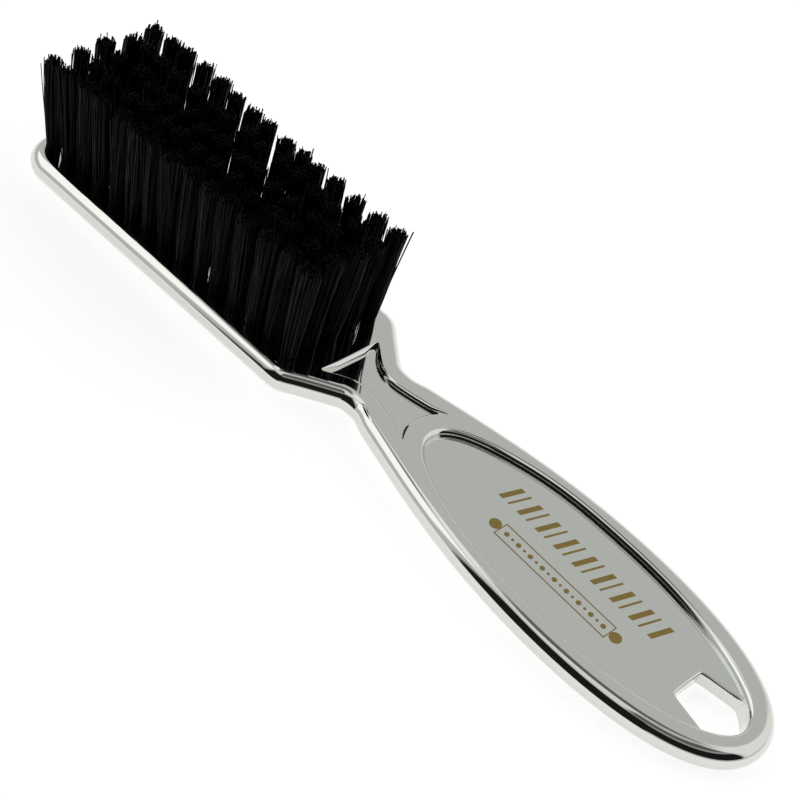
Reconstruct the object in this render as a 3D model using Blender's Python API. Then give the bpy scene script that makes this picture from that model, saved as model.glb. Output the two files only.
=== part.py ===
"""Fade brush: a chrome-plated moulded body and seventy-five bristle tufts, each held by a wire anchor.

The long axis is X, the head's far end at -X and the handle's tip at +X. The brush lies on its back
with the bristles up. The body is modelled straight, with its back on z = 0, and then bent slightly
between head and neck, so that it rests on the head's far end and on the handle's tip.
"""
import math

import bmesh
import bpy
from mathutils import Vector

MM = 0.001

# Body plate: a flat plate whose edge is a full half round, so the outline runs along its centre.
THICKNESS = 5.0 * MM
EDGE_RADIUS = THICKNESS / 2
END_X = 86.25 * MM                 # both ends of the outline
HEAD_HALF_WIDTH = 13.3 * MM        # at the far end
HEAD_HALF_WIDTH_NECK = 12.7 * MM   # at the shoulders
HEAD_CORNER = 5.5 * MM
NECK_X = -0.5 * MM
NECK_HALF_WIDTH = 4.95 * MM
HANDLE_WIDE_X = 51.5 * MM
HANDLE_HALF_WIDTH = 13.9 * MM

# Bend between the head and the neck.
BEND_START = -14.2 * MM
BEND_END = -10.2 * MM
BEND_STEPS = 4
HEAD_SLOPE = math.radians(1.58)    # rises towards the neck
HANDLE_SLOPE = math.radians(-1.19)  # falls towards the tip

# Recesses.
RECESS = 1.4 * MM                  # of the panel, on the front
PIT_DEPTH = 1.1 * MM
BACK_RECESS = 0.6 * MM
PANEL_START = 11.2 * MM
PANEL_END = 85.0 * MM
PANEL_WIDE_X = 50.0 * MM
PANEL_HALF_WIDTH = 12.8 * MM
PIT_WALL_X = -10.0 * MM
PIT_WALL_HALF_WIDTH = 7.0 * MM
PIT_HORN = (10.0 * MM, 5.9 * MM)
PIT_ARC_X = 8.0 * MM

# Hanging hole through the panel's end.
HOLE_START = 72.7 * MM
HOLE_START_HALF_WIDTH = 3.55 * MM
HOLE_CORNER = (80.0 * MM, 5.5 * MM)
HOLE_END = 84.6 * MM

# Bristle field.
COLUMNS = 15
ROWS = 5
PITCH = 4.885 * MM
FIRST_COLUMN_X = -84.1 * MM
BORE_RADIUS = 1.65 * MM
BORE_DEPTH = 3.6 * MM
BORE_SIDES = 8
TUFT_SIDES = 8
TUFT_FOOT_RADIUS = 1.35 * MM
TUFT_TOP_RADIUS = 2.0 * MM
TUFT_BASE = 1.6 * MM               # below the head's face
BRISTLE_HEIGHT = 20.4 * MM
TIP_UNEVEN = 0.9 * MM
LEAN_NECK = 1.0 * MM               # how far the last column's tips lean towards the neck
LEAN_COLUMNS = 3
TIP_SPREAD_FAR = 1.25              # tips' spacing across, over the feet's spacing
TIP_SPREAD_NECK = 1.06
TIE_HEIGHT = 14.0 * MM
TIE_SIZE = (0.6 * MM, 1.6 * MM)

# Anchors: flat wire pressed across the foot of each bore.
ANCHOR_LENGTH = 3.9 * MM
ANCHOR_WIRE = 0.4 * MM
ANCHOR_TOP = 1.9 * MM              # below the head's face
ANCHOR_BOTTOM = 3.3 * MM
ANCHOR_WEB = 0.5 * MM
CLEARANCE = 0.3 * MM
OVERRUN = 2.0 * MM                 # how far a cutter runs past the face it opens

CHROME = ((0.80, 0.81, 0.80, 1.0), 0.08, 1.0)
NYLON = ((0.012, 0.012, 0.014, 1.0), 0.45, 0.0)
ANCHOR_STEEL = ((0.62, 0.60, 0.55, 1.0), 0.35, 1.0)


def clear_scene():
    for obj in list(bpy.data.objects):
        bpy.data.objects.remove(obj, do_unlink=True)


def make_collection(name):
    collection = bpy.data.collections.new(name)
    bpy.context.scene.collection.children.link(collection)
    return collection


def make_material(name, finish):
    colour, roughness, metallic = finish
    material = bpy.data.materials.new(name)
    material.use_nodes = True
    shader = material.node_tree.nodes["Principled BSDF"]
    shader.inputs["Base Color"].default_value = colour
    shader.inputs["Roughness"].default_value = roughness
    shader.inputs["Metallic"].default_value = metallic
    return material


def bend(point):
    """Where a point of the straight body lies once the body is bent in the XZ plane."""
    x = min(max(point.x, BEND_START), BEND_END)
    share = (x - BEND_START) / (BEND_END - BEND_START)
    slope = HEAD_SLOPE + (HANDLE_SLOPE - HEAD_SLOPE) * share
    # Height of the plate's mid plane: the head's far end and the handle's tip lie equally low.
    height = (BEND_START + END_X) * math.tan(HEAD_SLOPE)
    height += (x - BEND_START) * math.tan((HEAD_SLOPE + slope) / 2)
    if point.x < BEND_START:
        height += (point.x - BEND_START) * math.tan(HEAD_SLOPE)
    if point.x > BEND_END:
        height += (point.x - BEND_END) * math.tan(HANDLE_SLOPE)
    lift = point.z - EDGE_RADIUS
    return Vector((point.x - lift * math.sin(slope), point.y,
                   EDGE_RADIUS + height + lift * math.cos(slope)))


def bezier_outline(knots):
    """Closed flat curve from the knots of its upper half, (x, y, tangent x, tangent y, reach in,
    reach out); the lower half mirrors it. The first and last knots lie on the X axis."""
    lower = [(x, -y, -tx, ty, reach_out, reach_in)
             for x, y, tx, ty, reach_in, reach_out in reversed(knots[1:-1])]
    curve = bpy.data.curves.new("outline", "CURVE")
    curve.dimensions = "2D"
    curve.fill_mode = "BOTH"
    spline = curve.splines.new("BEZIER")
    closed = list(knots) + lower
    spline.bezier_points.add(len(closed) - 1)
    for knot, (x, y, tx, ty, reach_in, reach_out) in zip(spline.bezier_points, closed):
        tangent = Vector((tx, ty, 0)).normalized()
        knot.handle_left_type = "FREE"
        knot.handle_right_type = "FREE"
        knot.co = (x, y, 0)
        knot.handle_left = knot.co - tangent * reach_in
        knot.handle_right = knot.co + tangent * reach_out
    spline.use_cyclic_u = True
    return curve


def curve_to_mesh_object(curve, name, collection, z_mid):
    """Evaluate a filled curve, weld its caps, make each flat one face and return it as a mesh."""
    source = bpy.data.objects.new(name + "_curve", curve)
    source.location.z = z_mid
    collection.objects.link(source)
    bpy.context.view_layer.update()
    evaluated = source.evaluated_get(bpy.context.evaluated_depsgraph_get())
    mesh = bpy.data.meshes.new_from_object(evaluated)
    work = bmesh.new()
    work.from_mesh(mesh)
    work.transform(source.matrix_world)
    bmesh.ops.remove_doubles(work, verts=work.verts, dist=0.00001)
    bmesh.ops.dissolve_limit(work, angle_limit=0.0005, verts=work.verts, edges=work.edges)
    bmesh.ops.recalc_face_normals(work, faces=work.faces)
    work.to_mesh(mesh)
    work.free()
    bpy.data.objects.remove(source, do_unlink=True)
    obj = bpy.data.objects.new(name, mesh)
    collection.objects.link(obj)
    return obj


def as_cutter(obj):
    obj.hide_render = True
    obj.display_type = "WIRE"
    return obj


def body_outline():
    """Centre line of the half-round edge: head, shoulders, neck and the long oval handle."""
    corner = HEAD_CORNER
    arc = 0.5523 * corner
    side = (HEAD_HALF_WIDTH_NECK - HEAD_HALF_WIDTH) / (60 * MM)
    end_run = (HEAD_HALF_WIDTH - corner) / 3
    side_run = 21 * MM
    return [
        (-END_X, 0, 0, 1, end_run, end_run),
        (-END_X, HEAD_HALF_WIDTH - corner, 0, 1, end_run, arc),
        (-END_X + corner, HEAD_HALF_WIDTH, 1, side, arc, side_run),
        (-17.2 * MM, HEAD_HALF_WIDTH_NECK, 1, side, side_run, 2.6 * MM),
        (-12.8 * MM, 11.75 * MM, 0.77, -0.64, 1.6 * MM, 2.8 * MM),
        (-5.6 * MM, 6.1 * MM, 0.8, -0.6, 2.8 * MM, 2.0 * MM),
        (NECK_X, NECK_HALF_WIDTH, 1, 0.05, 1.9 * MM, 1.8 * MM),
        (4.0 * MM, 6.35 * MM, 1, 0.26, 1.6 * MM, 14.0 * MM),
        (HANDLE_WIDE_X, HANDLE_HALF_WIDTH, 1, 0, 19.5 * MM, 20.0 * MM),
        (END_X, 0, 0, -1, 9.2 * MM, 9.2 * MM),
    ]


def panel_outline(inset):
    """The oval panel on the handle, drawn in by an inset."""
    half = PANEL_HALF_WIDTH - inset
    return [
        (PANEL_START + inset, 0, 0, 1, 5.4 * MM, 5.4 * MM),
        (25.5 * MM, 10.15 * MM - inset, 1, 0.30, 7.0 * MM, 8.0 * MM),
        (PANEL_WIDE_X, half, 1, 0, 10.0 * MM, 18.5 * MM),
        (PANEL_END - inset, 0, 0, -1, 7.4 * MM, 7.4 * MM),
    ]


def pit_outline():
    """The recess in the neck: straight wall, waist, two horns and an arc around the panel."""
    horn_x, horn_y = PIT_HORN
    return [
        (PIT_WALL_X, 0, 0, 1, 2.0 * MM, 2.0 * MM),
        (PIT_WALL_X, PIT_WALL_HALF_WIDTH, 0, 1, 2.0 * MM, 0.01 * MM),
        (-5.6 * MM, 3.95 * MM, 0.83, -0.56, 2.0 * MM, 1.6 * MM),
        (-0.8 * MM, 3.0 * MM, 1, 0.10, 1.7 * MM, 1.9 * MM),
        (horn_x, horn_y, 1, 0.35, 3.0 * MM, 0.01 * MM),
        (PIT_ARC_X, 0, 0, -1, 3.9 * MM, 3.9 * MM),
    ]


def hole_outline():
    """The hanging hole: a short straight side, two spreading sides and a round end."""
    corner_x, corner_y = HOLE_CORNER
    spread = (corner_y - HOLE_START_HALF_WIDTH) / (corner_x - HOLE_START)
    return [
        (HOLE_START, 0, 0, 1, 1.0 * MM, 1.0 * MM),
        (HOLE_START, HOLE_START_HALF_WIDTH - 0.5 * MM, 0, 1, 1.0 * MM, 0.3 * MM),
        (HOLE_START + 0.5 * MM, HOLE_START_HALF_WIDTH + 0.15 * MM, 1, spread, 0.3 * MM, 2.4 * MM),
        (corner_x, corner_y, 1, spread - 0.25, 2.4 * MM, 1.4 * MM),
        (HOLE_END, 0, 0, -1, 2.6 * MM, 2.6 * MM),
    ]


def make_prism_cutter(knots, name, low, high, collection, resolution):
    curve = bezier_outline(knots)
    curve.resolution_u = resolution
    curve.extrude = (high - low) / 2
    return as_cutter(curve_to_mesh_object(curve, name, collection, (low + high) / 2))


def tuft_foot(column, row):
    """Foot of a tuft on the face of the straight head."""
    return Vector((FIRST_COLUMN_X + column * PITCH, (row - (ROWS - 1) / 2) * PITCH, THICKNESS))


def tuft_lean(column, row):
    """How far a tuft's tip stands from above its foot: the tips fan out sideways and at the neck."""
    along = LEAN_NECK * max(0.0, 1 - (COLUMNS - 1 - column) / LEAN_COLUMNS)
    spread = TIP_SPREAD_FAR + (TIP_SPREAD_NECK - TIP_SPREAD_FAR) * column / (COLUMNS - 1)
    across = (row - (ROWS - 1) / 2) * PITCH * (spread - 1)
    return Vector((along, across, 0))


def join_meshes(name, builders, collection):
    """One object holding every shape that the builders add to a bmesh."""
    work = bmesh.new()
    for build in builders:
        build(work)
    bmesh.ops.recalc_face_normals(work, faces=work.faces)
    mesh = bpy.data.meshes.new(name)
    work.to_mesh(mesh)
    work.free()
    obj = bpy.data.objects.new(name, mesh)
    collection.objects.link(obj)
    return obj


def add_box(work, centre, size):
    made = bmesh.ops.create_cube(work, size=1)
    bmesh.ops.scale(work, vec=size, verts=made["verts"])
    bmesh.ops.translate(work, vec=centre, verts=made["verts"])


def make_bore_cutter(collection):
    """All the blind bores of the head as one cutter of separate prisms."""
    depth = BORE_DEPTH + OVERRUN

    def bore_at(column, row):
        def build(work):
            made = bmesh.ops.create_cone(work, cap_ends=True, segments=BORE_SIDES, depth=depth,
                                         radius1=BORE_RADIUS, radius2=BORE_RADIUS)
            middle = tuft_foot(column, row) + Vector((0, 0, OVERRUN - depth / 2))
            bmesh.ops.translate(work, vec=middle, verts=made["verts"])
        return build

    builders = [bore_at(column, row) for column in range(COLUMNS) for row in range(ROWS)]
    return as_cutter(join_meshes("cut_bores", builders, collection))


def anchor_profile(grow):
    """Side view of a column's anchors, as (y, depth) points: five tabs joined by a thin web."""
    points = []
    for row in range(ROWS):
        y = (row - (ROWS - 1) / 2) * PITCH
        half = ANCHOR_LENGTH / 2 + grow
        web_top = ANCHOR_BOTTOM - ANCHOR_WEB - grow
        points += [(y - half, web_top), (y - half, ANCHOR_TOP - grow),
                   (y + half, ANCHOR_TOP - grow), (y + half, web_top)]
    points = points[1:-1]
    last_y = points[-1][0]
    points += [(last_y, ANCHOR_BOTTOM + grow), (-last_y, ANCHOR_BOTTOM + grow)]
    return points


def add_anchor_strip(work, column, grow):
    x = tuft_foot(column, 0).x
    half = ANCHOR_WIRE / 2 + grow
    ring = [work.verts.new((x - half, y, THICKNESS - depth)) for y, depth in anchor_profile(grow)]
    face = work.faces.new(ring)
    made = bmesh.ops.extrude_face_region(work, geom=[face])
    moved = [item for item in made["geom"] if isinstance(item, bmesh.types.BMVert)]
    bmesh.ops.translate(work, vec=(2 * half, 0, 0), verts=moved)


def make_anchor_slots(collection):
    builders = [lambda work, column=column: add_anchor_strip(work, column, CLEARANCE)
                for column in range(COLUMNS)]
    return as_cutter(join_meshes("cut_anchor_slots", builders, collection))


def cut(obj, cutter):
    modifier = obj.modifiers.new(cutter.name, "BOOLEAN")
    modifier.operation = "DIFFERENCE"
    modifier.object = cutter
    modifier.solver = "EXACT"


def bake_modifiers(obj):
    """Replace an object's mesh by its evaluated mesh, so that it can be worked on further."""
    bpy.context.view_layer.update()
    evaluated = obj.evaluated_get(bpy.context.evaluated_depsgraph_get())
    mesh = bpy.data.meshes.new_from_object(evaluated)
    obj.modifiers.clear()
    obj.data = mesh


def bend_mesh(obj):
    """Slice the mesh across the bend and move every vertex to its bent place."""
    work = bmesh.new()
    work.from_mesh(obj.data)
    for step in range(BEND_STEPS + 1):
        x = BEND_START + (BEND_END - BEND_START) * step / BEND_STEPS
        geometry = list(work.verts) + list(work.edges) + list(work.faces)
        bmesh.ops.bisect_plane(work, geom=geometry, dist=1e-7, plane_co=(x, 0, 0),
                               plane_no=(1, 0, 0))
    for vert in work.verts:
        vert.co = bend(vert.co)
    work.to_mesh(obj.data)
    work.free()


def shade(obj, material, angle):
    obj.data.materials.clear()
    obj.data.materials.append(material)
    obj.data.shade_smooth()
    obj.data.set_sharp_from_angle(angle=math.radians(angle))


def make_body(parts, cutters, material):
    curve = bezier_outline(body_outline())
    curve.resolution_u = 5
    curve.bevel_depth = EDGE_RADIUS
    curve.bevel_resolution = 1
    body = curve_to_mesh_object(curve, "handle_body", parts, EDGE_RADIUS)
    top = THICKNESS + OVERRUN
    cut(body, make_prism_cutter(panel_outline(0), "cut_panel", THICKNESS - RECESS, top, cutters, 6))
    cut(body, make_prism_cutter(panel_outline(0), "cut_back_panel", -OVERRUN, BACK_RECESS, cutters, 6))
    cut(body, make_prism_cutter(pit_outline(), "cut_neck_pit", THICKNESS - PIT_DEPTH, top, cutters, 4))
    cut(body, make_prism_cutter(hole_outline(), "cut_hanging_hole", -OVERRUN, top, cutters, 5))
    cut(body, make_bore_cutter(cutters))
    cut(body, make_anchor_slots(cutters))
    bake_modifiers(body)
    bend_mesh(body)
    shade(body, material, 30)
    return body


def add_tuft(work, column, row):
    """A tuft: an eight-sided bundle from its narrow foot to its wider, uneven tip."""
    foot = tuft_foot(column, row)
    lean = tuft_lean(column, row)
    rings = []
    for height in (-TUFT_BASE, 0, BRISTLE_HEIGHT):
        share = max(height, 0) / BRISTLE_HEIGHT
        radius = TUFT_FOOT_RADIUS + (TUFT_TOP_RADIUS - TUFT_FOOT_RADIUS) * share
        ring = []
        for side in range(TUFT_SIDES):
            angle = 2 * math.pi * (side + 0.5) / TUFT_SIDES
            uneven = TIP_UNEVEN * share ** 4 * math.sin(1.7 * side + 2.3 * row + 1.1 * column)
            ring.append(work.verts.new((foot.x + lean.x * share + radius * math.cos(angle),
                                        foot.y + lean.y * share + radius * math.sin(angle),
                                        foot.z + height - abs(uneven))))
        rings.append(ring)
    for low, high in zip(rings, rings[1:]):
        for side in range(TUFT_SIDES):
            after = (side + 1) % TUFT_SIDES
            work.faces.new((low[side], low[after], high[after], high[side]))
    work.faces.new(list(reversed(rings[0])))
    tip = work.verts.new((foot.x + lean.x, foot.y + lean.y, foot.z + BRISTLE_HEIGHT + TIP_UNEVEN / 2))
    for side in range(TUFT_SIDES):
        work.faces.new((rings[-1][side], rings[-1][(side + 1) % TUFT_SIDES], tip))


def make_tuft_column(column, parts, cutters, material):
    """The tufts of one column, tied into one body by the strays that cross between them."""
    share = TIE_HEIGHT / BRISTLE_HEIGHT
    first = tuft_foot(column, 0) + tuft_lean(column, 0) * share
    last = tuft_foot(column, ROWS - 1) + tuft_lean(column, ROWS - 1) * share
    middle = (first + last) / 2 + Vector((0, 0, TIE_HEIGHT))
    size = (TIE_SIZE[0], last.y - first.y, TIE_SIZE[1])
    name = "tuft_column_%02d" % (column + 1)
    obj = join_meshes(name, [lambda work: add_box(work, middle, size)], parts)
    builders = [lambda work, row=row: add_tuft(work, column, row) for row in range(ROWS)]
    tufts = as_cutter(join_meshes("join_" + name, builders, cutters))
    modifier = obj.modifiers.new("tufts", "BOOLEAN")
    modifier.operation = "UNION"
    modifier.object = tufts
    modifier.solver = "EXACT"
    bake_modifiers(obj)
    for vert in obj.data.vertices:
        vert.co = bend(vert.co)
    shade(obj, material, 40)
    return obj


def make_anchor_column(column, parts, material):
    name = "anchor_column_%02d" % (column + 1)
    obj = join_meshes(name, [lambda work: add_anchor_strip(work, column, 0)], parts)
    for vert in obj.data.vertices:
        vert.co = bend(vert.co)
    obj.data.materials.append(material)
    return obj


def build():
    clear_scene()
    parts = make_collection("fade_brush")
    cutters = make_collection("cutters")
    chrome = make_material("chrome_plating", CHROME)
    nylon = make_material("black_nylon", NYLON)
    steel = make_material("anchor_wire", ANCHOR_STEEL)
    make_body(parts, cutters, chrome)
    for column in range(COLUMNS):
        make_tuft_column(column, parts, cutters, nylon)
        make_anchor_column(column, parts, steel)


build()
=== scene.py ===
"""Fade brush: a mirror-chrome body, seventy-five tufts of loose nylon filaments and a gold print.

Lengths are in millimetres until they are bent. The body is worked out straight, with its back on z = 0
and the head's far end at -X, and then bent slightly between head and neck.
"""
import math

import bmesh
import bpy
import numpy as np
from mathutils import Matrix, Vector


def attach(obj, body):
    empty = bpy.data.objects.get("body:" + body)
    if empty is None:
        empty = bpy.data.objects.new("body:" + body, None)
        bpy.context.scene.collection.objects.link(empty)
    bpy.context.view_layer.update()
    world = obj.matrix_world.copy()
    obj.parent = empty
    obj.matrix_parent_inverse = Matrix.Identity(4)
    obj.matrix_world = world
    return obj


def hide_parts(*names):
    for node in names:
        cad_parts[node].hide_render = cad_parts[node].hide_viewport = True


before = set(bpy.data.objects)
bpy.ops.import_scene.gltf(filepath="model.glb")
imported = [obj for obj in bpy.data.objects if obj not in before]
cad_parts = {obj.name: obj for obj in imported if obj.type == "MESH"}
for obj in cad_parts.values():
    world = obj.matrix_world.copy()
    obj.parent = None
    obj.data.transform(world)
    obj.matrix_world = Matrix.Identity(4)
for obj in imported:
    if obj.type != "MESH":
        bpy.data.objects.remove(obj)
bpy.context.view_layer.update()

MM = 0.001

# Body plate
THICKNESS = 5.0
EDGE_RADIUS = THICKNESS / 2
END_X = 86.25
EDGE_STEPS = 16
OUTLINE_STEP = 0.5
WELD = 1e-4
QUARTER_ARC = 0.5523            # of its radius: the reach that makes a quarter circle

# Bend between the head and the neck
BEND_START = -14.2
BEND_END = -10.2
BEND_CUTS = 16
HEAD_SLOPE = math.radians(1.58)
HANDLE_SLOPE = math.radians(-1.19)

# Oval panel on the handle's front, and its shallow twin on the back. A rim is the radius of a rounded
# edge, its reach is how far the edge starts outside the outline, and a run is the length over which a
# radius fades out.
PANEL_FLOOR = THICKNESS - 1.4
PANEL_DRAFT = 0.12
PANEL_RIM = 1.15
PANEL_RIM_REACH = 0.38
PANEL_FILLET = 0.15
FILLET_RUN = 2.0
BACK_FLOOR = 0.6
BACK_RIM = 0.2
BACK_FILLET = 0.4 * PANEL_FILLET
ROUND_STEPS = 10

# Pit in the neck, with four sharp horns
PIT_FLOOR = THICKNESS - 1.1
PIT_DRAFT = 0.05
PIT_RIM = 0.95
PIT_RIM_REACH = 0.22
HORNS = ((-9.85, 6.66), (9.7, 5.7))
HORN_RIM = 0.15
HORN_RUN = 3.4

# Hanging hole
HOLE_FRONT = (73.25, 3.69)
HOLE_SPREAD = 0.2466
HOLE_RIM = 0.45
HOLE_RIM_RUN = 1.2
HOLE_STEP = 0.4

# Bristle field
COLUMNS = 15
ROWS = 5
PITCH = 4.885
FIRST_COLUMN_X = -84.1
BORE_RADIUS = 1.45
BORE_RIM = 0.1
BORE_DEPTH = 3.4
BORE_POINTS = 28

# Filaments. No filament stands higher above BRISTLE_HEIGHT than a value drawn from HEIGHT_CAP.
SEED = 7
FILAMENTS = 104
FILAMENT_RADIUS = 0.12
FILAMENT_THICKNESSES = (0.85, 1.15)
FILAMENT_SIDES = 4
FILAMENT_STEPS = 6
TUFT_FOOT_RADIUS = 1.3
TUFT_TIP_RADIUS = 1.66
TUFT_BASE = 1.7
BRISTLE_HEIGHT = 20.4
HEIGHT_CAP = (0.6, 1.1)
LEAN_NECK = 1.0
LEAN_COLUMNS = 3
TIP_SPREAD_FAR = 1.25
TIP_SPREAD_NECK = 1.06

# Unevenness of the bristles: standard deviations, in mm but for FOOT_JITTER, which is a part of the
# tuft's radius, and the share of filaments that stray
FOOT_JITTER = 0.03
TIP_JITTER = 0.28
TUFT_TIP_JITTER = 0.3
HEIGHT_JITTER = 0.3
TUFT_HEIGHT_JITTER = 0.35
BOW = 0.22
STRAY_SHARE = 0.06
STRAY_TIP_JITTER = 0.9
STRAY_HEIGHT = 0.8

# Anchors. Their top and bottom are depths below the head's flat.
ANCHOR_LENGTH = 3.9
ANCHOR_WIRE = 0.4
ANCHOR_TOP = 1.9
ANCHOR_BOTTOM = 3.3
ANCHOR_BEVEL = 0.08

# Print: a row of slanted bars, and a banner below it
PRINT_THICKNESS = 0.03
PRINT_SINK = 0.01
BARS = 17
BARS_X = 27.3
BARS_Y = (1.5, 6.1)
BAR_PITCH = 2.19
BAR_WIDTH = 1.05
THIN_BAR_WIDTH = 0.4 * BAR_WIDTH
BAR_SLANT = 1.3
BANNER_X = (32.8, 58.6)
BANNER_Y = (-5.5, -2.0)
BANNER_LINE = 0.2
BANNER_DISC = 1.15
BANNER_DOTS = 17
DOT_MARGIN = 1.6
DOT_RADII = (0.5, 0.28)

# Camera: its place, its direction and roll in degrees, and its lens
CAMERA_AT = (130.66, -192.84, 220.35)
CAMERA_AZIMUTH = 33.48
CAMERA_ELEVATION = 42.67
CAMERA_ROLL = 18.34
CAMERA_LENS = 81.0
CAMERA_SENSOR = 36

# Studio: the light all round, and soft cards that brighten or darken parts of it. A card is its
# azimuths and elevations in degrees, the softness of its edges, and its brightness. Azimuth 0 is -Y,
# and 90 is +X.
FLOOR_SIZE = 6
FLOOR_GLOW = 0.76
SURROUND = 0.59
CARDS = (
    ((105, 174), (8, 70), 8, 0.95),
    ((-230, -120), (-20, 14), 8, 0.9),
    ((140, 230), (-20, 14), 8, 0.9),
    ((-230, -48), (71, 200), 4, 0.14),
    ((150, 230), (71, 200), 4, 0.14),
    ((-48, 12), (58, 86), 3, 0.85),
    ((-118, -52), (60, 71), 3, 1.05),
    ((-95, -72), (56, 62), 2, 0.2),
    ((-98, -39), (24, 56), 3, 1.3),
    ((8, 100), (55, 76), 4, 0.12),
    ((8, 100), (46, 57), 2, 0.35),
    ((-31, 18), (0, 52), 2, 0.012),
    ((14, 102), (8, 48), 2, 0.012),
)


# ---------------------------------------------------------------- geometry helpers

def bend(points, normals=None):
    """Bent places, in metres, of points of the straight body in mm, and their turned normals."""
    points = np.asarray(points, float)
    x = points[:, 0]
    inside = np.clip(x, BEND_START, BEND_END)
    slope = HEAD_SLOPE + (HANDLE_SLOPE - HEAD_SLOPE) * (inside - BEND_START) / (BEND_END - BEND_START)
    height = (BEND_START + END_X) * math.tan(HEAD_SLOPE)
    height = height + (inside - BEND_START) * np.tan((HEAD_SLOPE + slope) / 2)
    height += np.minimum(x - BEND_START, 0) * math.tan(HEAD_SLOPE)
    height += np.maximum(x - BEND_END, 0) * math.tan(HANDLE_SLOPE)
    lift = points[:, 2] - EDGE_RADIUS
    bent = np.stack([x - lift * np.sin(slope), points[:, 1],
                     EDGE_RADIUS + height + lift * np.cos(slope)], axis=1) * MM
    if normals is None:
        return bent
    normals = np.asarray(normals, float)
    turned = np.stack([normals[:, 0] * np.cos(slope) - normals[:, 2] * np.sin(slope), normals[:, 1],
                       normals[:, 0] * np.sin(slope) + normals[:, 2] * np.cos(slope)], axis=1)
    return bent, turned


def bend_verts(work):
    """Move the straight body's vertices, in mm, to their bent places in metres."""
    for vert, place in zip(work.verts, bend([v.co for v in work.verts])):
        vert.co = place


def trace(knots, step=OUTLINE_STEP, closed=True):
    """Points and outward normals along an outline, from knots of its upper half, which are
    (x, y, tangent x, tangent y, reach in, reach out)."""
    lower = [(x, -y, -tx, ty, reach_out, reach_in)
             for x, y, tx, ty, reach_in, reach_out in reversed(knots[1:-1] if closed else knots[:-1])]
    ordered = list(knots) + lower + (list(knots[:1]) if closed else [])
    points, normals = [], []
    for first, last in zip(ordered, ordered[1:]):
        start, end = np.array(first[:2]), np.array(last[:2])
        leave = np.array(first[2:4]) / np.hypot(*first[2:4]) * first[5]
        arrive = np.array(last[2:4]) / np.hypot(*last[2:4]) * last[4]
        count = max(4, math.ceil(np.linalg.norm(end - start) / step))
        t = (np.arange(count) / count)[:, None]
        a, b = start + leave, end - arrive
        points.append((1 - t) ** 3 * start + 3 * t * (1 - t) ** 2 * a
                      + 3 * t * t * (1 - t) * b + t ** 3 * end)
        along = (1 - t) ** 2 * (a - start) + 2 * t * (1 - t) * (b - a) + t * t * (end - b)
        normals.append(np.stack([-along[:, 1], along[:, 0]], axis=1))
    if not closed:
        points.append(np.array([ordered[-1][:2]], float))
        normals.append(np.array([[-ordered[-1][3], ordered[-1][2]]], float))
    points, normals = np.vstack(points), np.vstack(normals)
    return points, normals / np.linalg.norm(normals, axis=1)[:, None]


def ring(points, normals, offset, z, out, up):
    """A ring of a strip: places and surface normals. Offset, z, out and up may vary along it."""
    offset, z, out, up = [np.broadcast_to(np.asarray(v, float), len(points))[:, None]
                          for v in (offset, z, out, up)]
    return np.hstack([points + normals * offset, z]), np.hstack([normals * out, up])


def add_strip(work, layer, rings, closed=True):
    """Quads between neighbouring rings. Each corner keeps the surface's true normal."""
    made = [[work.verts.new(place) for place in places] for places, _ in rings]
    count = len(made[0])
    for k in range(len(rings) - 1):
        for i in range(count if closed else count - 1):
            corners = ((k, i), (k, (i + 1) % count), (k + 1, (i + 1) % count), (k + 1, i))
            face = work.faces.new([made[a][b] for a, b in corners])
            for loop, (a, b) in zip(face.loops, corners):
                loop[layer] = rings[a][1][b]


def rim(points, normals, radius, z, side):
    """Rounded edge between a flat at height z and a wall that faces inwards. Side is 1 for an edge
    at the wall's top and -1 for one at its bottom."""
    rings = []
    for k in range(ROUND_STEPS + 1):
        turn = math.pi / 2 * k / ROUND_STEPS
        rings.append(ring(points, normals, radius * (1 - math.sin(turn)),
                          z - side * radius * (1 - math.cos(turn)), -math.sin(turn), side * math.cos(turn)))
    return rings


def fillet(points, normals, inset, radius, z, side):
    """Hollow corner between a wall that faces inwards and the flat at height z below it."""
    rings = []
    for k in range(ROUND_STEPS + 1):
        turn = math.pi / 2 * k / ROUND_STEPS
        rings.append(ring(points, normals, -inset - radius * (1 - math.cos(turn)),
                          z + side * radius * (1 - math.sin(turn)), -math.cos(turn), side * math.sin(turn)))
    return rings


def reach_from_ends(points, last=-1):
    """Each point's distance from the first point or the last, whichever is nearer."""
    return np.minimum(np.hypot(*(points - points[0]).T), np.hypot(*(points - points[last]).T))


def finished_mesh(work, name):
    mesh = bpy.data.meshes.new(name)
    work.to_mesh(mesh)
    work.free()
    return mesh


def make_object(mesh, material):
    obj = bpy.data.objects.new(mesh.name, mesh)
    bpy.context.scene.collection.objects.link(obj)
    mesh.materials.append(material)
    return obj


# ---------------------------------------------------------------- outlines, as knots for trace()

def body_outline():
    corner = 5.5
    arc = QUARTER_ARC * corner
    half, shoulder, taper_length = 13.3, 12.7, 60
    side = (shoulder - half) / taper_length
    return [
        (-END_X, 0, 0, 1, 2.6, 2.6),
        (-END_X, half - corner, 0, 1, 2.6, arc),
        (-END_X + corner, half, 1, side, arc, 21),
        (-17.2, shoulder, 1, side, 21, 2.6),
        (-12.8, 11.75, 0.77, -0.64, 1.6, 2.8),
        (-5.6, 6.1, 0.8, -0.6, 2.8, 2.0),
        (-0.5, 4.95, 1, 0.05, 1.9, 1.8),
        (4.0, 6.35, 1, 0.26, 1.6, 14.0),
        (51.5, 13.9, 1, 0, 19.5, 20.0),
        (END_X, 0, 0, -1, 9.2, 9.2),
    ]


def panel_outline():
    return [
        (11.2, 0, 0, 1, 5.4, 5.4),
        (25.5, 10.15, 1, 0.30, 7.0, 8.0),
        (50.0, 12.8, 1, 0, 10.0, 18.5),
        (85.0, 0, 0, -1, 7.4, 7.4),
    ]


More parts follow.
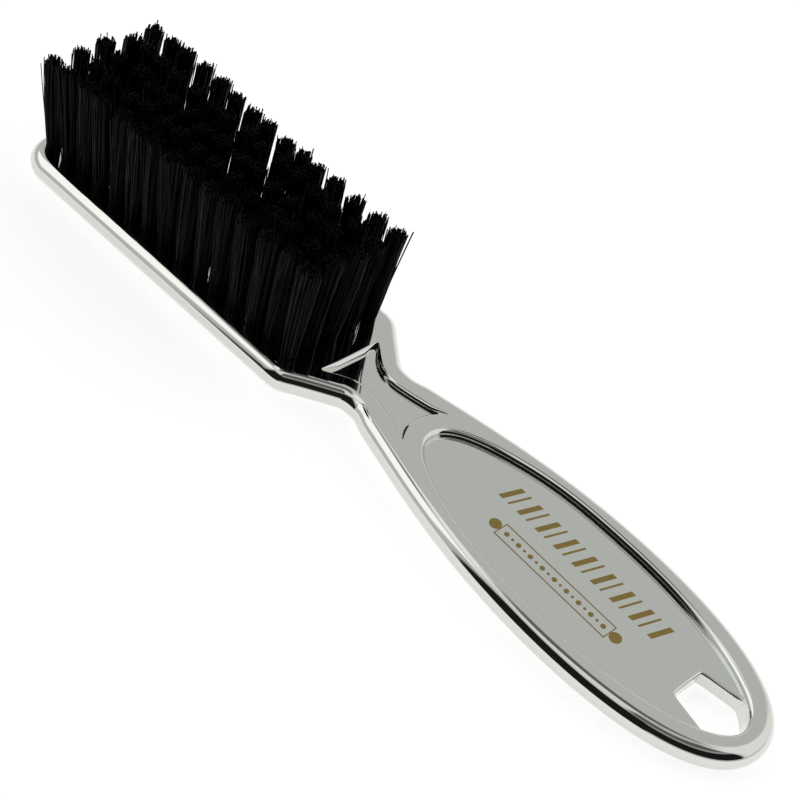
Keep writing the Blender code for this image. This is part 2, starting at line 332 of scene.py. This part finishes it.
def pit_outline():
    """Neck recess. Its four corners are small arcs."""
    return [
        (-10.0, 0, 0, 1, 2.0, 2.0),
        (-10.0, 6.55, 0, 1, 2.0, 0.3),
        (-9.62, 6.72, 0.83, -0.56, 0.3, 1.6),
        (-5.6, 3.95, 0.83, -0.56, 1.8, 1.6),
        (-0.8, 3.0, 1, 0.10, 1.7, 1.9),
        (9.62, 5.77, 0.944, 0.33, 3.0, 0.12),
        (9.76, 5.58, -0.608, -0.794, 0.12, 2.0),
        (8.0, 0, 0, -1, 2.0, 2.0),
    ]


def hole_outline(join):
    """Front and sides of the hanging hole, from the point where its side meets the panel's wall."""
    x, y = join
    return [
        (x, y, -1, -HOLE_SPREAD, 0, 2.6),
        (*HOLE_FRONT, -1, -HOLE_SPREAD, 2.6, 0.3),
        (72.75, 3.1, 0, -1, 0.35, 1.0),
        (72.7, 0, 0, -1, 1.0, 1.0),
    ]


# ---------------------------------------------------------------- body

def add_edge(work, layer):
    """The full half round along the outline."""
    points, normals = trace(body_outline())
    rings = []
    for k in range(EDGE_STEPS + 1):
        turn = math.pi / 2 - math.pi * k / EDGE_STEPS
        rings.append(ring(points, normals, EDGE_RADIUS * math.cos(turn),
                          EDGE_RADIUS + EDGE_RADIUS * math.sin(turn), math.cos(turn), math.sin(turn)))
    add_strip(work, layer, rings)


def add_pit(work, layer):
    """The edge is widely rounded, and grows sharp towards the four horns."""
    points, normals = trace(pit_outline())
    horns = [(x, y * side) for x, y in HORNS for side in (1, -1)]
    reach = np.min([np.hypot(*(points - horn).T) for horn in horns], axis=0)
    radius = HORN_RIM + (PIT_RIM - HORN_RIM) * np.clip(reach / HORN_RUN, 0, 1)
    points = points - normals * (radius - PIT_RIM_REACH)[:, None]
    rings = rim(points, normals, radius, THICKNESS, 1)
    rings.append(ring(points, normals, -PIT_DRAFT, PIT_FLOOR, -1, 0))
    add_strip(work, layer, rings)


def panel_wall():
    """Points and normals along the oval's wall, from where it enters the hanging hole, and the index
    of the last of them that is in the hole."""
    points, normals = trace(panel_outline())
    points = points - normals * (PANEL_RIM - PANEL_RIM_REACH)
    beyond = points[:, 0] - HOLE_FRONT[0]
    in_hole = (beyond > 0) & (np.abs(points[:, 1]) < HOLE_FRONT[1] + HOLE_SPREAD * beyond)
    order = np.roll(np.arange(len(points)), -int(np.argmax(in_hole)))
    return points[order], normals[order], int(np.argmin(in_hole[order])) - 1


def add_panel(work, layer):
    """The oval recess on the front, its shallow twin on the back, and the hole that joins them."""
    points, normals, last = panel_wall()
    # The fillets on the floors die out where the hole's sides meet the wall.
    fade = np.clip(reach_from_ends(points, last) / FILLET_RUN, 0, 1)
    fade[:last + 1] = 0
    outside = np.r_[last:len(points), 0]
    for level, floor, side, edge, corner in ((THICKNESS, PANEL_FLOOR, 1, PANEL_RIM, PANEL_FILLET),
                                             (0.0, BACK_FLOOR, -1, BACK_RIM, BACK_FILLET)):
        rings = rim(points, normals, edge, level, side)
        rings.append(ring(points, normals, -PANEL_DRAFT, floor + side * corner * fade, -1, 0))
        add_strip(work, layer, rings)
        rings = fillet(points[outside], normals[outside], PANEL_DRAFT, corner * fade[outside], floor, side)
        add_strip(work, layer, rings, closed=False)
    in_hole = slice(0, last + 1)
    wall = [ring(points[in_hole], normals[in_hole], -PANEL_DRAFT, z, -1, 0)
            for z in (PANEL_FLOOR, BACK_FLOOR)]
    add_strip(work, layer, wall, closed=False)
    add_hole_sides(work, layer, points[0] - normals[0] * PANEL_DRAFT)


def add_hole_sides(work, layer, join):
    """The hole's front and sides, with a rounded edge at each floor that fades out at both ends."""
    points, normals = trace(hole_outline(join), step=HOLE_STEP, closed=False)
    normals = -normals
    radius = HOLE_RIM * np.clip(reach_from_ends(points) / HOLE_RIM_RUN, 0, 1)
    front = rim(points, normals, radius, PANEL_FLOOR, 1)
    back = rim(points, normals, radius, BACK_FLOOR, -1)
    add_strip(work, layer, front + back[::-1], closed=False)


def add_bores(work, layer):
    """A blind bore under each tuft, its wall round and its end flat."""
    angles = 2 * math.pi * np.arange(BORE_POINTS) / BORE_POINTS
    normals = np.stack([np.sin(angles), np.cos(angles)], axis=1)
    for column in range(COLUMNS):
        for row in range(ROWS):
            foot = tuft_foot(column, row)
            points = foot[:2] + normals * BORE_RADIUS
            rings = rim(points, normals, BORE_RIM, THICKNESS, 1)[::2]
            rings.append(ring(points, normals, 0, THICKNESS - BORE_RIM, -1, 0))
            rings.append(ring(points, normals, 0, THICKNESS - BORE_DEPTH, -1, 0))
            add_strip(work, layer, rings)


def fill_flats(work, layer):
    """Close every flat of the body: each lies at one height, between open rings of edges."""
    levels = ((THICKNESS, 1), (PIT_FLOOR, 1), (PANEL_FLOOR, 1), (THICKNESS - BORE_DEPTH, 1),
              (BACK_FLOOR, -1), (0.0, -1))
    for level, side in levels:
        edges = [e for e in work.edges if len(e.link_faces) == 1
                 and all(abs(v.co.z - level) < WELD for v in e.verts)]
        made = bmesh.ops.triangle_fill(work, use_beauty=True, use_dissolve=False, edges=edges,
                                       normal=(0, 0, side))
        for face in made["geom"]:
            if isinstance(face, bmesh.types.BMFace):
                for loop in face.loops:
                    loop[layer] = (0, 0, side)


def cut_across_bend(work):
    """Edges across the body, where the flats have to follow the bend."""
    for k in range(BEND_CUTS + 1):
        x = BEND_START + (BEND_END - BEND_START) * k / BEND_CUTS
        geometry = list(work.verts) + list(work.edges) + list(work.faces)
        bmesh.ops.bisect_plane(work, geom=geometry, dist=1e-5, plane_co=(x, 0, 0), plane_no=(1, 0, 0))


def bent_normals(work, layer):
    """The true normals of all corners, bent with the body."""
    work.verts.index_update()
    places = np.array([v.co for v in work.verts])
    corners = [loop for face in work.faces for loop in face.loops]
    at = np.array([loop.vert.index for loop in corners])
    _, normals = bend(places[at], np.array([loop[layer] for loop in corners]))
    return normals / np.linalg.norm(normals, axis=1)[:, None]


def make_body(material):
    work = bmesh.new()
    layer = work.loops.layers.float_vector.new("true_normal")
    for add_surface in (add_edge, add_pit, add_panel, add_bores):
        add_surface(work, layer)
    bmesh.ops.remove_doubles(work, verts=work.verts, dist=WELD)
    fill_flats(work, layer)
    cut_across_bend(work)
    bmesh.ops.recalc_face_normals(work, faces=work.faces)
    normals = bent_normals(work, layer)
    bend_verts(work)
    for face in work.faces:
        face.smooth = True
    work.loops.layers.float_vector.remove(layer)
    mesh = finished_mesh(work, "body_chrome")
    mesh.normals_split_custom_set(normals.tolist())
    body = make_object(mesh, material)
    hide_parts("handle_body")
    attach(body, "root")


# ---------------------------------------------------------------- bristles

def tuft_foot(column, row):
    """The middle of a tuft's bore, on the head's flat."""
    return np.array([FIRST_COLUMN_X + column * PITCH, (row - (ROWS - 1) / 2) * PITCH, THICKNESS])


def tuft_lean(column, row):
    """How far a tuft's tip stands from above its foot: the tips fan out sideways and at the neck."""
    along = LEAN_NECK * max(0.0, 1 - (COLUMNS - 1 - column) / LEAN_COLUMNS)
    spread = TIP_SPREAD_FAR + (TIP_SPREAD_NECK - TIP_SPREAD_FAR) * column / (COLUMNS - 1)
    return np.array([along, (row - (ROWS - 1) / 2) * PITCH * (spread - 1), 0])


def tuft_filaments(column, row, rng):
    """Centre lines of a tuft's filaments, as an array (filament, step, 3) in mm."""
    index = np.arange(FILAMENTS)
    radius = np.sqrt((index + 0.5) / FILAMENTS)
    angle = index * math.pi * (3 - math.sqrt(5)) + rng.uniform(0, 2 * math.pi)
    radius = radius + rng.normal(0, FOOT_JITTER, FILAMENTS)
    disc = np.stack([radius * np.cos(angle), radius * np.sin(angle)], axis=1)
    tip = disc * TUFT_TIP_RADIUS + rng.normal(0, TIP_JITTER, (FILAMENTS, 2))
    stray = rng.random(FILAMENTS) < STRAY_SHARE
    tip[stray] += rng.normal(0, STRAY_TIP_JITTER, (stray.sum(), 2))
    tip += rng.normal(0, TUFT_TIP_JITTER, 2)
    height = BRISTLE_HEIGHT + rng.normal(0, TUFT_HEIGHT_JITTER) + rng.normal(0, HEIGHT_JITTER, FILAMENTS)
    height[stray] += np.abs(rng.normal(0, STRAY_HEIGHT, stray.sum()))
    height = np.minimum(height, BRISTLE_HEIGHT + rng.uniform(*HEIGHT_CAP, FILAMENTS))
    bow = rng.normal(0, BOW, (FILAMENTS, 2))
    foot, lean = tuft_foot(column, row), tuft_lean(column, row)
    t = np.linspace(0, 1, FILAMENT_STEPS + 1)[None, :, None]
    start = disc * TUFT_FOOT_RADIUS
    across = start[:, None] * (1 - t) + (tip[:, None] + lean[None, None, :2]) * t
    across = across + bow[:, None] * np.sin(math.pi * t)
    base = foot[2] - TUFT_BASE
    z = base + (height[:, None, None] + TUFT_BASE) * t
    return np.concatenate([foot[:2] + across, z], axis=2)


def filament_mesh(name, lines, rng):
    """Closed four-sided prisms along centre lines. Each has its own thickness and turn."""
    count, steps = lines.shape[:2]
    thick = FILAMENT_RADIUS * rng.uniform(*FILAMENT_THICKNESSES, count)
    turn = rng.uniform(0, 2 * math.pi, count)[:, None] + \
        2 * math.pi * np.arange(FILAMENT_SIDES)[None] / FILAMENT_SIDES
    around = np.stack([np.cos(turn), np.sin(turn), np.zeros_like(turn)], axis=2) * thick[:, None, None]
    places = lines[:, :, None, :] + around[:, None]
    grid = np.arange(count * steps * FILAMENT_SIDES).reshape(count, steps, FILAMENT_SIDES)
    low, high = grid[:, :-1], grid[:, 1:]
    quads = np.stack([low, np.roll(low, -1, 2), np.roll(high, -1, 2), high], axis=3).reshape(-1, 4)
    caps = np.concatenate([grid[:, -1], grid[:, 0, ::-1]])
    mesh = bpy.data.meshes.new(name)
    mesh.from_pydata(bend(places.reshape(-1, 3)).tolist(), [], quads.tolist() + caps.tolist())
    mesh.shade_smooth()
    mesh.set_sharp_from_angle(angle=math.radians(60))
    return mesh


def make_tuft_column(column, material, rng):
    """The loose filaments of five tufts, side by side across the head."""
    lines = np.concatenate([tuft_filaments(column, row, rng) for row in range(ROWS)])
    obj = make_object(filament_mesh("bristles_%02d" % (column + 1), lines, rng), material)
    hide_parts("tuft_column_%02d" % (column + 1))
    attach(obj, "root")


def make_anchor_column(column, material):
    """Five flat wires, one across the foot of each tuft's bore."""
    work = bmesh.new()
    size = (ANCHOR_WIRE, ANCHOR_LENGTH, ANCHOR_BOTTOM - ANCHOR_TOP)
    depth = np.array([0, 0, (ANCHOR_TOP + ANCHOR_BOTTOM) / 2])
    for row in range(ROWS):
        made = bmesh.ops.create_cube(work, size=1)
        bmesh.ops.scale(work, vec=size, verts=made["verts"])
        bmesh.ops.translate(work, vec=tuft_foot(column, row) - depth, verts=made["verts"])
    bmesh.ops.bevel(work, geom=work.edges[:], offset=ANCHOR_BEVEL, segments=2, affect="EDGES", profile=0.5)
    bend_verts(work)
    obj = make_object(finished_mesh(work, "anchors_%02d" % (column + 1)), material)
    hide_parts("anchor_column_%02d" % (column + 1))
    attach(obj, "root")


# ---------------------------------------------------------------- gold print on the panel

def slanted_bar(x, width, low, high):
    return [(x, low), (x + width, low), (x + width + BAR_SLANT, high), (x + BAR_SLANT, high)]


def rectangle(left, bottom, right, top):
    return [(left, bottom), (right, bottom), (right, top), (left, top)]


def disc(x, y, radius, points=40):
    turn = 2 * math.pi * np.arange(points) / points
    return np.stack([x + radius * np.cos(turn), y + radius * np.sin(turn)], axis=1).tolist()


def bar_shapes():
    """A row of slanted bars, wide and thin by turns."""
    return [slanted_bar(BARS_X + k * BAR_PITCH, THIN_BAR_WIDTH if k % 2 else BAR_WIDTH, *BARS_Y)
            for k in range(BARS)]


def banner_shapes():
    """A frame of thin lines with a round at each end and a row of dots, large and small by turns."""
    (left, right), (bottom, top), line = BANNER_X, BANNER_Y, BANNER_LINE
    middle = (bottom + top) / 2
    shapes = [rectangle(left, y, right, y + line) for y in (bottom, top - line)]
    shapes += [rectangle(x, bottom + line, x + line, top - line) for x in (left, right - line)]
    shapes += [disc(x, middle, BANNER_DISC) for x in (left - BANNER_DISC, right + BANNER_DISC)]
    dots = np.linspace(left + DOT_MARGIN, right - DOT_MARGIN, BANNER_DOTS)
    return shapes + [disc(x, middle, DOT_RADII[k % 2], 20) for k, x in enumerate(dots)]


def make_print(material):
    work = bmesh.new()
    for shape in bar_shapes() + banner_shapes():
        face = work.faces.new([work.verts.new((x, y, PANEL_FLOOR - PRINT_SINK)) for x, y in shape])
        made = bmesh.ops.extrude_face_region(work, geom=[face])
        moved = [item for item in made["geom"] if isinstance(item, bmesh.types.BMVert)]
        bmesh.ops.translate(work, vec=(0, 0, PRINT_SINK + PRINT_THICKNESS), verts=moved)
    bmesh.ops.recalc_face_normals(work, faces=work.faces)
    bend_verts(work)
    obj = make_object(finished_mesh(work, "print_gold"), material)
    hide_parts("handle_body")
    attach(obj, "root")


# ---------------------------------------------------------------- materials

def new_material(name):
    material = bpy.data.materials.new(name)
    material.use_nodes = True
    tree = material.node_tree
    return material, tree, tree.nodes["Principled BSDF"]


def noise(tree, scale, detail=2.0):
    """Noise in the object's own space, from 0 to 1."""
    node = tree.nodes.new("ShaderNodeTexNoise")
    where = tree.nodes.new("ShaderNodeTexCoord")
    tree.links.new(where.outputs["Object"], node.inputs["Vector"])
    node.inputs["Scale"].default_value = scale
    node.inputs["Detail"].default_value = detail
    return node.outputs["Fac"]


def spread(tree, source, low, high):
    """The middle of a noise's range, stretched to run from low to high."""
    node = tree.nodes.new("ShaderNodeMapRange")
    tree.links.new(source, node.inputs["Value"])
    node.inputs["From Min"].default_value = 0.3
    node.inputs["From Max"].default_value = 0.7
    node.inputs["To Min"].default_value = low
    node.inputs["To Max"].default_value = high
    return node.outputs["Result"]


def mixed_colour(tree, shader, source, low, high):
    """A base colour that drifts between two colours."""
    mix = tree.nodes.new("ShaderNodeMix")
    mix.data_type = "RGBA"
    mix.inputs["A"].default_value = (*low, 1)
    mix.inputs["B"].default_value = (*high, 1)
    tree.links.new(source, mix.inputs["Factor"])
    tree.links.new(mix.outputs["Result"], shader.inputs["Base Color"])


def chrome_material():
    material, tree, shader = new_material("chrome_plating")
    shader.inputs["Base Color"].default_value = (0.695, 0.71, 0.67, 1)
    shader.inputs["Metallic"].default_value = 1.0
    tree.links.new(spread(tree, noise(tree, 900, 4), 0.03, 0.06), shader.inputs["Roughness"])
    bump = tree.nodes.new("ShaderNodeBump")
    bump.inputs["Strength"].default_value = 0.12
    bump.inputs["Distance"].default_value = 0.00006
    tree.links.new(noise(tree, 260, 1.0), bump.inputs["Height"])
    tree.links.new(bump.outputs["Normal"], shader.inputs["Normal"])
    return material


def nylon_material():
    material, tree, shader = new_material("black_nylon")
    mixed_colour(tree, shader, noise(tree, 700), (0.0012, 0.0012, 0.0016), (0.003, 0.0028, 0.0055))
    tree.links.new(spread(tree, noise(tree, 1500), 0.4, 0.55), shader.inputs["Roughness"])
    shader.inputs["Specular IOR Level"].default_value = 0.08
    return material


def wire_material():
    material, tree, shader = new_material("anchor_wire")
    shader.inputs["Base Color"].default_value = (0.62, 0.60, 0.55, 1)
    shader.inputs["Metallic"].default_value = 1.0
    tree.links.new(spread(tree, noise(tree, 2500, 3), 0.28, 0.45), shader.inputs["Roughness"])
    return material


def gold_material():
    material, tree, shader = new_material("gold_print")
    mixed_colour(tree, shader, noise(tree, 1200, 3), (0.26, 0.18, 0.04), (0.36, 0.26, 0.07))
    tree.links.new(spread(tree, noise(tree, 2500), 0.35, 0.5), shader.inputs["Roughness"])
    shader.inputs["Metallic"].default_value = 0.6
    return material


def floor_material():
    material, tree, shader = new_material("pale_floor")
    mixed_colour(tree, shader, noise(tree, 30), (0.49, 0.49, 0.49), (0.51, 0.51, 0.51))
    shader.inputs["Emission Color"].default_value = (1, 1, 1, 1)
    shader.inputs["Emission Strength"].default_value = FLOOR_GLOW
    shader.inputs["Roughness"].default_value = 0.9
    shader.inputs["Specular IOR Level"].default_value = 0.1
    return material


# ---------------------------------------------------------------- camera and studio

def make_camera():
    """The camera looks down its own -Z, and its roll turns it about that axis."""
    azimuth, elevation, roll = [math.radians(v) for v in (CAMERA_AZIMUTH, CAMERA_ELEVATION, CAMERA_ROLL)]
    back = Vector((math.sin(azimuth) * math.cos(elevation), -math.cos(azimuth) * math.cos(elevation),
                   math.sin(elevation)))
    right = Vector((math.cos(azimuth), math.sin(azimuth), 0))
    up = back.cross(right)
    turned_right = right * math.cos(roll) + up * math.sin(roll)
    turned_up = up * math.cos(roll) - right * math.sin(roll)
    data = bpy.data.cameras.new("camera")
    data.lens = CAMERA_LENS
    data.sensor_width = CAMERA_SENSOR
    data.clip_start = 0.01
    data.clip_end = 20
    camera = bpy.data.objects.new("camera", data)
    basis = Matrix((turned_right, turned_up, back)).transposed().to_4x4()
    camera.matrix_world = Matrix.Translation(Vector(CAMERA_AT) * MM) @ basis
    bpy.context.scene.collection.objects.link(camera)
    bpy.context.scene.camera = camera


def math_node(tree, operation, *values):
    node = tree.nodes.new("ShaderNodeMath")
    node.operation = operation
    for socket, value in zip(node.inputs, values):
        if isinstance(value, (int, float)):
            socket.default_value = value
        else:
            tree.links.new(value, socket)
    return node.outputs["Value"]


def soft_edge(tree, source, start, end):
    """0 before the start and 1 past the end, with a smooth step between them."""
    node = tree.nodes.new("ShaderNodeMapRange")
    node.interpolation_type = "SMOOTHSTEP"
    tree.links.new(source, node.inputs["Value"])
    node.inputs["From Min"].default_value = start
    node.inputs["From Max"].default_value = end
    return node.outputs["Result"]


def view_angles(tree):
    """Azimuth and elevation, in degrees, of the direction in which the surroundings are seen."""
    where = tree.nodes.new("ShaderNodeTexCoord")
    split = tree.nodes.new("ShaderNodeSeparateXYZ")
    tree.links.new(where.outputs["Generated"], split.inputs["Vector"])
    front = math_node(tree, "MULTIPLY", split.outputs["Y"], -1.0)
    azimuth = math_node(tree, "ARCTAN2", split.outputs["X"], front)
    elevation = math_node(tree, "ARCSINE", split.outputs["Z"])
    return [math_node(tree, "MULTIPLY", angle, math.degrees(1)) for angle in (azimuth, elevation)]


def add_card(tree, light, angles, card):
    """The light with one card in front of it: light + (brightness - light) * inside the card."""
    azimuths, elevations, soft, brightness = card
    inside = 1.0
    for angle, (low, high) in zip(angles, (azimuths, elevations)):
        for start, end in ((low - soft, low + soft), (high + soft, high - soft)):
            inside = math_node(tree, "MULTIPLY", inside, soft_edge(tree, angle, start, end))
    change = math_node(tree, "SUBTRACT", brightness, light)
    return math_node(tree, "ADD", light, math_node(tree, "MULTIPLY", inside, change))


def make_world():
    world = bpy.data.worlds.new("studio")
    bpy.context.scene.world = world
    world.use_nodes = True
    tree = world.node_tree
    angles = view_angles(tree)
    light = SURROUND
    for card in CARDS:
        light = add_card(tree, light, angles, card)
    background = tree.nodes["Background"]
    tree.links.new(light, background.inputs["Strength"])
    background.inputs["Color"].default_value = (0.995, 1.0, 0.99, 1)


def make_floor():
    bpy.ops.mesh.primitive_plane_add(size=FLOOR_SIZE)
    floor = bpy.context.object
    floor.name = "floor"
    floor.data.materials.append(floor_material())


def build():
    rng = np.random.default_rng(SEED)
    chrome = chrome_material()
    nylon = nylon_material()
    wire = wire_material()
    make_body(chrome)
    make_print(gold_material())
    for column in range(COLUMNS):
        make_tuft_column(column, nylon, rng)
        make_anchor_column(column, wire)
    make_floor()
    make_camera()
    make_world()
    bpy.context.scene.view_settings.view_transform = "Standard"


build()
